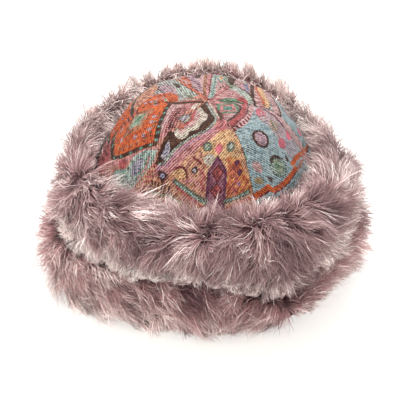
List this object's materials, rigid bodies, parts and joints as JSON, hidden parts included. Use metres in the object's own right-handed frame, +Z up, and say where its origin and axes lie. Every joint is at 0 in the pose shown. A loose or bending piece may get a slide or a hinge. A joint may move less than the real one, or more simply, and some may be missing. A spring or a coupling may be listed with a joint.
{
  "type": "toque_hat",
  "caption": "Winter toque with a patchwork jacquard crown sewn from gores and a deep faux-fur cuff turned up in rolls, worn over the head",
  "frame": {"origin": "middle of the hat's outline, on the surface that it stands on", "axes": "+Z up through the crown, -Y towards the front of the hat, +X to the right of the picture"},
  "size_m": [0.2966, 0.2876, 0.15],
  "materials": {
    "jacquard": "matte jacquard cloth in orange, dark brown, salmon, mint, cream, pink and grey-blue patches",
    "fur": "deep soft faux fur, dusty mauve with plum roots and pale frosted tips"
  },
  "bodies": {
    "root": {"gore_front": "jacquard", "gore_front_right": "jacquard", "gore_back_right": "jacquard", "gore_back": "jacquard", "gore_back_left": "jacquard", "gore_front_left": "jacquard", "fur_cuff": "fur", "fur_hem": "fur"}
  },
  "joints": []
}
